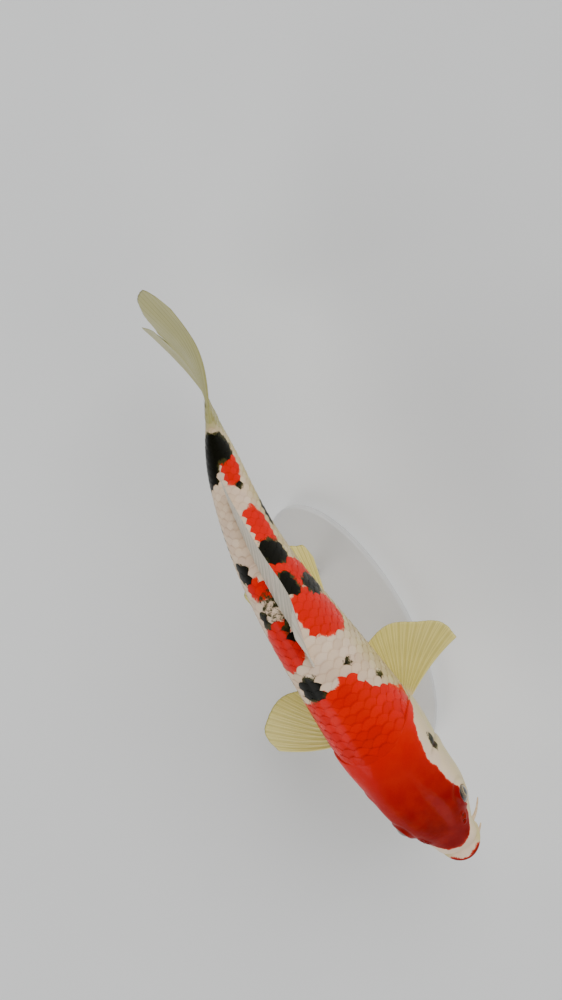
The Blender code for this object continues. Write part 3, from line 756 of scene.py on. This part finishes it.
LATERAL_LINE = 92.0  # its angle
ROW_HEIGHT = ((55, 5.8), (100, 5.7), (150, 4.8), (190, 3.6), (222, 3.0))  # between two rows of scales
PITCH = ((55, 4.3), (150, 4.0), (222, 3.1))  # between two scales of a row
SCALE_LENGTH, SCALE_HALF_WIDTH = 2.1, 0.98  # by the pitch and by the row height
SCALE_RISE, SCALE_THICK, SCALE_DOME = 0.052, 0.13, 0.10
FIRST_ROOT, LAST_ROOT = 44.0, 218.0  # at the sides the last ones sit further back, on the wedge
MOST_ROWS = 10  # above the lateral line, and below it
ROW_RISE, SIDE_RISE = 0.013, 0.02  # so that scales which overlap from row to row don't share a surface
LINE_RIDGE = 0.16  # on the scales of the lateral line
FRONT_END = 118.0  # where the rear meshes of scales begin
HELD = 0.5  # how far a scale takes its colour from its own middle, so that patches end on scales' edges
BAKE_PATCH = 0.003  # a scale's size on the map that the finish is baked on


GIRTH_START, GIRTH_STEP, GIRTH_SHARES = 40, 2.0, 128
GIRTH_MARKS = np.linspace(0, 1, GIRTH_SHARES + 1)


def girth_tables():
    """By place: half the girth, and the angle reached after each share of it, from the back down."""
    places = np.arange(GIRTH_START, BODY_END + WEDGE + 5, GIRTH_STEP)
    angles = np.linspace(0, 180, 181)
    rows, totals = [], []
    for place in places:
        points = skin(np.full_like(angles, min(place, BODY_END - 0.1)), angles)
        arc = np.concatenate([[0], np.cumsum(np.linalg.norm(np.diff(points, axis=0), axis=1))])
        totals.append(arc[-1])
        rows.append(np.interp(GIRTH_MARKS, arc / arc[-1], angles))
    return places, np.array(totals), np.array(rows)


GIRTH_PLACES, HALF_GIRTH, GIRTH_ANGLES = girth_tables()


def angle_at(place, arc):
    """The angle at which this arc from the middle of the back ends. It may pass over back or belly."""
    share = arc / np.interp(place, GIRTH_PLACES, HALF_GIRTH)
    sign = np.where((share < 0) | (share > 1), -1.0, 1.0)
    share = np.abs(share)
    share = np.where(share > 1, 2 - share, share) * GIRTH_SHARES
    row = np.clip((place - GIRTH_START) / GIRTH_STEP, 0, len(GIRTH_PLACES) - 1.001)
    i, j = row.astype(int), np.clip(share, 0, GIRTH_SHARES - 0.001).astype(int)
    s, t = row - i, share - j
    upper = mix(GIRTH_ANGLES[i, j], GIRTH_ANGLES[i, j + 1], t)
    return sign * mix(upper, mix(GIRTH_ANGLES[i + 1, j], GIRTH_ANGLES[i + 1, j + 1], t), s)


def line_arc(place):
    """The arc from the middle of the back to the lateral line."""
    samples = [np.interp(LATERAL_LINE, angles, GIRTH_MARKS) for angles in GIRTH_ANGLES]
    return np.interp(place, GIRTH_PLACES, np.array(samples) * HALF_GIRTH)


def scale_roots():
    """(place, row, side, arc, tone) of each scale. Rows are counted from the lateral line, upwards, and end
    where they run into the middle of the back or of the belly, which has a row of its own."""
    random = np.random.default_rng(7)
    stations = [FIRST_ROOT]
    while stations[-1] < BODY_END + WEDGE:
        stations.append(stations[-1] + float(along(PITCH, stations[-1])))
    roots = []
    for side in (-1, 1):
        for row in range(-MOST_ROWS, MOST_ROWS + 1):
            for station in stations:
                place = station + (0.5 * float(along(PITCH, station)) if row % 2 else 0.0)
                step = float(along(ROW_HEIGHT, place))
                arc = float(line_arc(place)) - row * step
                end = float(np.interp(place, GIRTH_PLACES, HALF_GIRTH))
                if 0.3 * step < arc < end - 0.3 * step:
                    roots.append((place, row, side, arc, random.random()))
    for middle in (0.0, 1.0):
        for station in stations:
            place = station + 0.27 * float(along(PITCH, station))
            end = float(np.interp(place, GIRTH_PLACES, HALF_GIRTH))
            roots.append((place, 0.37 + middle, 1, middle * end, random.random()))
    return [root for root in roots if starts_behind_head(root)]


def starts_behind_head(root):
    place, _, _, arc, _ = root
    angle = float(angle_at(np.array([place]), np.array([arc]))[0])
    last = LAST_ROOT + 0.75 * (float(wedge_length(angle)) - 0.25 * WEDGE)
    return float(gill_line(np.array([angle]))[0]) - 4.5 < place < last


def scale_template():
    """One flat scale as (points, faces). x runs from root to edge, y across, and z is 1 on its top."""
    bm = bmesh.new()
    bmesh.ops.create_grid(bm, x_segments=9, y_segments=10, size=0.5)
    lifted = bmesh.ops.extrude_face_region(bm, geom=bm.faces[:])
    top = [v for v in lifted["geom"] if isinstance(v, bmesh.types.BMVert)]
    bmesh.ops.translate(bm, verts=top, vec=(0, 0, 1))
    bmesh.ops.recalc_face_normals(bm, faces=bm.faces)
    bm.verts.index_update()
    points = np.array([vertex.co[:] for vertex in bm.verts])
    faces = np.array([[vertex.index for vertex in face.verts] for face in bm.faces])
    bm.free()
    return points, faces


def scale_points(root, template):
    """The points of one scale, in mm, with their values and their spots on the bake map."""
    place, row, side, arc, tone = root
    u, v, upper = template[:, 0] + 0.5, 2 * template[:, 1], template[:, 2]
    u = np.sin(u * np.pi / 2) * 0.55 + u * 0.45  # closer together near the edge
    edge = 1 - 0.40 * np.abs(v) ** 2.2
    length = SCALE_LENGTH * float(along(PITCH, place)) * (1 - 0.25 * float(ease(219, 231, place)))
    step = float(along(ROW_HEIGHT, place))
    position = place + length * u * edge
    width = SCALE_HALF_WIDTH * step * v * (0.84 + 0.16 * np.sin(np.pi * np.clip(u, 0, 1)))
    in_row = isinstance(row, int)  # the rows on the back and the belly keep to the middle
    centre_row = line_arc(position) - row * along(ROW_HEIGHT, position) if in_row else arc
    angle = side * angle_at(position, centre_row + width)
    height = -COAT * at_full_depth(position) + SCALE_RISE * length * u * edge
    height += SCALE_DOME * (1 - v**2) * ease(0.2, 0.8, u)
    height += ROW_RISE * row + SIDE_RISE * (side > 0)
    if row == 0:
        height += LINE_RIDGE * hill(v, 0, 0.13) * ease(0.45, 0.55, u) * (1 - ease(0.80, 0.90, u))
    thick = SCALE_THICK * (1 - 0.55 * ease(0.8, 1.0, u))
    height = np.where(upper > 0.5, height, height - thick)
    points = skin(position, angle) + skin_normal(position, angle) * height[:, None]
    middle = place + 0.6 * length
    middle_angle = side * float(angle_at(np.array([middle]), np.array([arc]))[0])
    values = markings(mix(position, middle, HELD), mix_angles(angle, middle_angle, HELD), points)
    values.update(tone=np.full_like(u, tone), along_scale=u)
    spot = np.array([place / SPINE_LENGTH, (middle_angle % 360) / 360])
    shift = np.stack([u - 0.5, 0.5 * v], -1) * BAKE_PATCH
    shift[:, 0] += np.where(upper > 0.5, 0, 1.3 * BAKE_PATCH)
    return points, values, spot + shift


def mix_angles(a, b, share):
    return a + ((b - a + 180) % 360 - 180) * share


def make_scales(material):
    """The coat as four joined meshes, front and rear of each side."""
    template, faces = scale_template()
    bins = {}
    for root in scale_roots():
        key = ("left" if root[2] > 0 else "right") + ("_front" if root[0] < FRONT_END else "_rear")
        bins.setdefault(key, []).append(scale_points(root, template))
    for key, scales in sorted(bins.items()):
        points = np.concatenate([scale[0] for scale in scales])
        spots = np.concatenate([scale[2] for scale in scales])
        offsets = (np.arange(len(scales)) * len(template))[:, None, None]
        quads = (faces[None] + offsets).reshape(-1, 4)
        if inside_out(scales[0][0], faces):
            quads = quads[:, ::-1]
        mesh = bpy.data.meshes.new("scales_" + key)
        mesh.from_pydata((points * MM).tolist(), [], quads.tolist())
        for name in scales[0][1]:
            layer = mesh.attributes.new(name, "FLOAT", "POINT")
            layer.data.foreach_set("value", np.concatenate([scale[1][name] for scale in scales]))
        uv = mesh.uv_layers.new(name="OFBake")
        uv.data.foreach_set("uv", spots[quads.reshape(-1)].reshape(-1))
        mesh.materials.append(material)
        mesh.shade_smooth()
        mesh.set_sharp_from_angle(angle=math.radians(60))
        obj = bpy.data.objects.new(mesh.name, mesh)
        bpy.context.scene.collection.objects.link(obj)
        adopt(obj)


def inside_out(points, faces):
    a, b, c, d = (points[faces[:, i]] for i in range(4))
    return (np.einsum("ij,ij->i", a, np.cross(b, c)) + np.einsum("ij,ij->i", a, np.cross(c, d))).sum() < 0


# ---------------------------------------------------------------- the fins

PECTORAL = dict(root=((65, 126), (71, 137)), cup=2.2, sunk=3.0, thick=(2.0, 0.6), count=16, grid=(150, 44))
PELVIC = dict(
    root=((117, 146), (123, 163)), lean=((0, 120), (1, 134)), bow=(0.06, 0.06),
    rays=((0, 25), (0.15, 30), (0.45, 31), (0.8, 25), (1, 18)),
    cup=1.2, sunk=2.5, thick=(1.7, 0.6), count=9, grid=(90, 34),
)
FINS = {
    "dorsal_fin": dict(
        root=((106, 0), (183, 0)), side=1, sweep=(50, 26), bow=(0.1, 0.1),
        lean=((0, 16), (0.12, 36), (0.35, 48), (0.6, 46), (1, 12)),
        rays=((0, 22), (0.05, 28), (0.12, 25), (0.28, 18.5), (0.6, 15), (1, 13.5)),
        cup=0.0, sunk=2.5, thick=(1.5, 0.6), count=21, grid=(190, 26),
    ),
    "anal_fin": dict(
        root=((167.5, 180), (182, 180)), side=1, sweep=(62, 38), bow=(0.12, 0.12),
        lean=((0, 190), (1, 196)), rays=((0, 18), (0.14, 24), (0.45, 18), (1, 12)),
        cup=0.0, sunk=2.5, thick=(1.4, 0.6), count=8, grid=(80, 30),
    ),
    "pectoral_fin_left": dict(
        PECTORAL, side=1, sweep=(60.5, -8), bow=(-0.19, 0.05), lean=((0, 100), (1, 112)),
        rays=((0, 39), (0.1, 42), (0.3, 38.5), (0.5, 35), (0.75, 27), (1, 20)),
    ),
    "pectoral_fin_right": dict(
        PECTORAL, side=-1, sweep=(88, -2), bow=(0.3, 0.05), lean=((0, 105), (1, 112)),
        rays=((0, 36), (0.1, 38.5), (0.3, 36), (0.5, 31), (0.75, 22), (1, 16)),
    ),
    "pelvic_fin_left": dict(PELVIC, side=1, sweep=(19, -8)),
    "pelvic_fin_right": dict(PELVIC, side=-1, sweep=(39, 12)),
}


FIN_STEP = 0.01  # the share between two points from which a fin's direction is taken
FIN_WAVE = 0.35


def fin_point(fin, u, v):
    """The middle surface of a fin, as in the construction: u from first to last ray, v from the root."""
    (place_0, angle_0), (place_1, angle_1) = fin["root"]
    side = fin["side"]
    place, angle = mix(place_0, place_1, u), side * mix(angle_0, angle_1, u)
    root = skin(place, angle) - skin_normal(place, angle) * fin["sunk"]
    _, back, _ = spine(place)
    sweep = np.radians(mix(*fin["sweep"], u))[:, None]
    lean = along(fin["lean"], u)
    length = ((along(fin["rays"], u) + fin["sunk"]) * v)[:, None]
    point = root + (back * np.cos(sweep) + outward(place, side * lean) * np.sin(sweep)) * length
    point = point + back * (mix(*fin["bow"], u) * v)[:, None] * length
    return point + outward(place, side * (lean - 90)) * (fin["cup"] * np.sin(np.pi * u) * v)[:, None]


def tail_fin_point(lobe, u, v):
    height = lobe * u
    length = along(TAIL_RAYS[lobe], u)
    fan = np.radians(TAIL_FAN) * height
    place = TAIL_ROOT + length * v * np.cos(fan)
    rise = TAIL_HALF_ROOT * height + length * v * np.sin(fan)
    roll = tail_roll(lobe, u, v)
    centre, _, side = spine(place)
    return centre + UP * (rise * np.cos(roll))[:, None] + side * (rise * np.sin(roll))[:, None]


def ray_ridge(u, v, count):
    """1 on the middle of a ray and 0 between rays. Each ray forks on the way out, and forks again."""
    phase = (u + 0.010 * np.sin(9 * u) + 0.006 * np.sin(23 * u)) * count % 1.0 - 0.5
    first = 0.19 * ease(0.30, 0.70, v)
    second = 0.085 * ease(0.62, 0.95, v)
    apart = np.abs(np.abs(np.abs(phase) - first) - second)
    width = mix(0.13, 0.065, ease(0.3, 0.9, v))
    return hill(apart, 0, width)


def make_fin(name, point, fin, material):
    """A blade, open only at its root inside the body, with a ridge at each ray. It runs out along one face
    of the fin and back along the other."""
    columns, rows = fin["grid"]
    root_thick, edge_thick = fin["thick"]

    def place(w, v):
        u = 1 - np.abs(2 * w - 1)
        face = np.where(w < 0.5, 1.0, -1.0)
        ridge = ray_ridge(u, v, fin["count"])
        ragged = 0.005 * (1 - ridge) + 0.012 * (1 + np.sin(17 * u + 2 * np.sin(5 * u)))
        frayed = 1 - ragged * ease(0.8, 1.0, v)
        reach = v * frayed
        middle = point(u, reach)
        before, after = (np.clip(u + step, 0, 1) for step in (-FIN_STEP, FIN_STEP))
        inner, outer = (np.clip(reach + step, 0, 1) for step in (-FIN_STEP, FIN_STEP))
        across, outwards = point(after, reach) - point(before, reach), point(u, outer) - point(u, inner)
        normal = unit(np.cross(across, outwards))
        leading = ease(0.05, 0.0, u)
        body = mix(root_thick, edge_thick, v**0.7)
        half = 0.5 * body * (0.40 + 0.30 * ridge * (1 - 0.6 * v) + 0.35 * leading)
        half = half + 0.5 * hill(v, 0, 0.10)
        half = half * np.sqrt(np.clip(1 - ease(0.975, 1.0, v), 0, 1)) * ease(0, 0.012, np.minimum(u, 1 - u))
        wave = FIN_WAVE * np.sin(2 * np.pi * (1.6 * u + 0.7 * v)) * v**2
        points = middle + normal * (face * half + wave)[:, None]
        root = 1 - ease(0.04, 0.22, v)
        return points, {"ray": np.maximum(ridge, leading), "root": root, "along_ray": v}

    blade = shaped_grid(name, 2 * columns, rows, place, material, bake=lambda w, v: (w, v))
    adopt(blade, (name,))


def make_fins():
    pale = fin_finish("pale_fin", (0.78, 0.67, 0.15), (0.88, 0.77, 0.28), 0.78)
    dorsal = fin_finish("dorsal_fin", (0.58, 0.53, 0.42), (0.74, 0.66, 0.54), 0.88)
    tail = fin_finish("tail_fin", TAIL_OLIVE, TAIL_RAY, 0.93, root_colour=TAIL_OLIVE)
    for name, fin in FINS.items():
        make_fin(name, lambda u, v: fin_point(fin, u, v), fin, dorsal if name == "dorsal_fin" else pale)
    fin = dict(thick=TAIL_THICK, count=TAIL_COUNT, grid=TAIL_GRID)
    for lobe, name in ((1, "tail_fin_upper"), (-1, "tail_fin_lower")):
        make_fin(name, lambda u, v: tail_fin_point(lobe, mix(-0.004, 1.0, u), v), fin, tail)


# ---------------------------------------------------------------- eyes and barbels

SIGHT_ANGLE = 80.0  # the pupils look sideways, a little up and forwards
# Where a barbel starts: the share of the way to the mouth's corner, and from there out, back and up in mm.
BARBELS = {
    "barbel_front": dict(
        start=(0.6, (0.9, 0.3, 0.3)), direction=(0.62, 0.38, -0.42), length=5.5, thick=0.75
    ),
    "barbel_rear": dict(
        start=(0.94, (0.0, 0.9, -0.1)), direction=(0.55, 0.10, -0.75), length=11.0, thick=1.0
    ),
}
BARBEL_CURL, BARBEL_TIP = 0.035, 0.30  # how much it bends back, and its radius at the tip
SIGHT_FORWARDS = 0.12


def make_eye(name, side, material):
    place, angle = np.array([EYE_PLACE]), np.array([side * EYE_ANGLE])
    out = skin_normal(place, angle)[0]
    centre = skin(place, angle)[0] - out * (EYE_RADIUS - EYE_STANDS_OUT)
    bm = bmesh.new()
    bmesh.ops.create_uvsphere(bm, u_segments=64, v_segments=48, radius=EYE_RADIUS * MM)
    layer = bm.verts.layers.float.new("from_pupil")
    for vertex in bm.verts:
        vertex[layer] = math.degrees(vertex.co.angle(Vector((0, 0, 1))))
    sight = outward(place, np.array([side * SIGHT_ANGLE]))[0] - SIGHT_FORWARDS * spine(EYE_PLACE)[1]
    turn = Vector((0, 0, 1)).rotation_difference(Vector(sight)).to_matrix()
    bmesh.ops.rotate(bm, verts=bm.verts, cent=(0, 0, 0), matrix=turn)
    bmesh.ops.translate(bm, verts=bm.verts, vec=Vector(centre * MM))
    adopt(object_from(name, bm, material), (name,))


def make_barbel(name, side, barbel, material):
    share, (out, back, up) = barbel["start"]
    start = UPPER_LIP(0.5 + side * share / 2) + np.array([side * out, back, up])
    towards, length = np.array(barbel["direction"]) * (side, 1, 1), barbel["length"]

    def route(t):
        reach = length * t[:, None]
        return start + towards * reach + np.array([0.0, BARBEL_CURL, 0.0]) * reach**2

    def place(u, v):
        t = np.clip(1.08 * v - 0.06, -0.06, 1.0)
        direction = unit(route(t + 0.01) - route(t - 0.01))
        first = unit(np.cross(direction, np.array([0.0, 1.0, 0.0])))
        second = np.cross(direction, first)
        radius = mix(barbel["thick"], BARBEL_TIP, np.clip(t, 0, 1) ** 0.8) * (1 + 0.03 * np.sin(50 * t))
        radius = radius * np.sqrt(np.clip(1 - ease(0.93, 1.0, v), 0, 1)) * ease(0.0, 0.02, v)
        turn = 2 * np.pi * u
        ring = first * np.cos(turn)[:, None] + second * np.sin(turn)[:, None]
        return route(t) + ring * radius[:, None], {}

    adopt(shaped_grid(name, 16, 40, place, material), (name,))


def make_head_pieces():
    eye, barbel_skin = eye_finish(), barbel_finish()
    for side, side_name in ((-1, "right"), (1, "left")):
        make_eye("eye_" + side_name, side, eye)
        for name, barbel in BARBELS.items():
            make_barbel(name + "_" + side_name, side, barbel, barbel_skin)


# ---------------------------------------------------------------- the stand

BASE_TOP_ROUND, BASE_FOOT_ROUND = 1.5 * MM, 0.5 * MM
ROD_RADIUS, ROD_FOOT_HEIGHT, ROD_FOOT_ROUND = 2.0 * MM, 3.0 * MM, 1.2 * MM
ROD_FILLET, ROD_FILLET_LOW, ROD_FILLET_TOP = 0.5 * MM, 0.1 * MM, 0.8 * MM
ROD_END_ROUND = 0.4 * MM


def make_base(material):
    """The oval block with a rounded edge, its size from the frame."""
    low, high = (Vector(corner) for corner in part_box("stand_base"))
    size, middle = high - low, (low + high) / 2
    bm = bmesh.new()
    bmesh.ops.create_circle(bm, cap_ends=True, segments=160, radius=0.5)
    bmesh.ops.scale(bm, verts=bm.verts, vec=(size.x, size.y, 1))
    bmesh.ops.translate(bm, verts=bm.verts, vec=(middle.x, middle.y, low.z))
    lifted = bmesh.ops.extrude_face_region(bm, geom=bm.faces[:])
    top = [v for v in lifted["geom"] if isinstance(v, bmesh.types.BMVert)]
    bmesh.ops.translate(bm, verts=top, vec=(0, 0, size.z))
    foot = [v for v in bm.verts if v.co.z < low.z + 1e-6]
    for verts, radius in ((top, BASE_TOP_ROUND), (foot, BASE_FOOT_ROUND)):
        chosen = set(verts)
        rim = [e for e in bm.edges if e.verts[0] in chosen and e.verts[1] in chosen]
        bmesh.ops.bevel(
            bm, geom=rim, offset=radius, offset_type="OFFSET", affect="EDGES",
            segments=5, profile=0.5, material=-1,
        )
    bmesh.ops.recalc_face_normals(bm, faces=bm.faces)
    base = object_from("stand_base", bm, material)
    base.data.set_sharp_from_angle(angle=math.radians(40))
    adopt(base, ("stand_base",))


def make_rod(name, material):
    """A turned rod: a rounded foot, a fillet, the straight shank and a softened end in the belly."""
    low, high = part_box(name)
    centre = (Vector(low) + Vector(high)) / 2
    foot, tall = (high[0] - low[0]) / 2, high[2] - low[2]
    profile = [(0, 0), (foot, 0), (foot, 0.5 * ROD_FOOT_HEIGHT)]
    for step in range(1, 7):
        turn = math.radians(15 * step)
        x = foot - ROD_FOOT_ROUND * (1 - math.cos(turn))
        profile.append((x, ROD_FOOT_HEIGHT + ROD_FOOT_ROUND * (math.sin(turn) - 1)))
    profile += [
        (ROD_RADIUS + ROD_FILLET, ROD_FOOT_HEIGHT + ROD_FILLET_LOW),
        (ROD_RADIUS, ROD_FOOT_HEIGHT + ROD_FILLET_TOP),
        (ROD_RADIUS, tall - ROD_END_ROUND),
        (ROD_RADIUS - ROD_END_ROUND, tall),
        (0, tall),
    ]
    bm = bmesh.new()
    verts = [bm.verts.new((x, 0, z)) for x, z in profile]
    edges = [bm.edges.new(pair) for pair in zip(verts, verts[1:])]
    bmesh.ops.spin(
        bm, geom=verts + edges, cent=(0, 0, 0), axis=(0, 0, 1), angle=2 * math.pi,
        steps=48, use_merge=True,
    )
    bmesh.ops.remove_doubles(bm, verts=bm.verts, dist=1e-6)
    bmesh.ops.recalc_face_normals(bm, faces=bm.faces)
    bmesh.ops.translate(bm, verts=bm.verts, vec=(centre.x, centre.y, low[2]))
    rod = object_from(name, bm, material)
    rod.data.set_sharp_from_angle(angle=math.radians(40))
    adopt(rod, (name,))


# ---------------------------------------------------------------- floor, light and camera

CAMERA_TARGET = np.array([16.9, 37.3, 80.0])
CAMERA_DISTANCE, CAMERA_TILT = 468.0, 11.0  # the camera leans over towards the fish's left
IMAGE_UP = np.array([0.505, 0.863, 0.0])
SENSOR, FOCAL_SHARE = 24.0, 1.072  # the sensor's height, and the focal length by that height
FLOOR_REACH = 15.0  # metres
# Lamps: the direction each shines from, its width in degrees and its power.
SUNS = {
    "key": ((1.3, 0.9, 1.6), 50, 2.1),
    "fill": ((-1.6, -0.5, 0.95), 40, 1.3),
    "front": ((0.3, -1.8, 0.85), 30, 0.6),
}
# The glow fades with the height in the sky: From is the height, and To the strength.
GLOW = {"From Min": 0.02, "From Max": 0.60, "To Min": 0.90, "To Max": 0.17}
GLOW_COLOUR = (0.94, 0.96, 1.0, 1.0)


def look_from(back, up):
    """The camera's turn, from the direction out of its back and the one that is up in the image."""
    right = unit(np.cross(up, back))
    return Matrix(np.stack([right, np.cross(back, right), back], -1).tolist()).to_4x4()


def make_camera():
    tilt = math.radians(CAMERA_TILT)
    back = np.array([math.sin(tilt), 0.0, math.cos(tilt)])
    lens = bpy.data.cameras.new("camera")
    lens.sensor_fit = "VERTICAL"
    lens.sensor_height = SENSOR
    lens.lens = SENSOR * FOCAL_SHARE
    lens.clip_start = 0.01
    camera = bpy.data.objects.new("camera", lens)
    bpy.context.scene.collection.objects.link(camera)
    place = Matrix.Translation(Vector((CAMERA_TARGET + back * CAMERA_DISTANCE) * MM))
    camera.matrix_world = place @ look_from(back, IMAGE_UP)
    bpy.context.scene.camera = camera


def make_studio():
    finish = Finish("floor", Roughness=0.8)
    cloud = finish.spread(finish.noise(6, 3), -0.2, 0.2)
    finish.set("Base Color", finish.blend(cloud, (0.86, 0.865, 0.855), (0.89, 0.895, 0.885)))
    bm = bmesh.new()
    bmesh.ops.create_grid(bm, x_segments=2, y_segments=2, size=FLOOR_REACH)
    object_from("floor", bm, finish.material)
    for name, sun in SUNS.items():
        make_sun(name, *sun)
    make_world()


def make_sun(name, direction, width, power):
    """A far lamp. It lights the whole floor alike, and its width keeps the shadows soft."""
    data = bpy.data.lights.new(name, "SUN")
    data.energy, data.angle = power, math.radians(width)
    light = bpy.data.objects.new(name, data)
    bpy.context.scene.collection.objects.link(light)
    light.rotation_euler = Vector(direction).to_track_quat("Z", "Y").to_euler()


def make_world():
    """A soft glow all round that fades overhead, so that the wet back shows its own colours."""
    world = bpy.data.worlds.new("studio")
    world.use_nodes = True
    nodes, links = world.node_tree.nodes, world.node_tree.links
    height = nodes.new("ShaderNodeSeparateXYZ")
    links.new(nodes.new("ShaderNodeTexCoord").outputs["Generated"], height.inputs[0])
    fade = nodes.new("ShaderNodeMapRange")
    fade.interpolation_type = "SMOOTHSTEP"
    links.new(height.outputs["Z"], fade.inputs["Value"])
    for key, value in GLOW.items():
        fade.inputs[key].default_value = value
    background = nodes["Background"]
    background.inputs["Color"].default_value = GLOW_COLOUR
    links.new(fade.outputs["Result"], background.inputs["Strength"])
    bpy.context.scene.world = world


def main():
    make_camera()
    make_studio()
    make_skin(skin_finish())
    make_scales(scale_finish())
    make_fins()
    make_head_pieces()
    make_base(lacquer_finish())
    steel = steel_finish()
    for name in ("stand_rod_front", "stand_rod_rear"):
        make_rod(name, steel)


main()
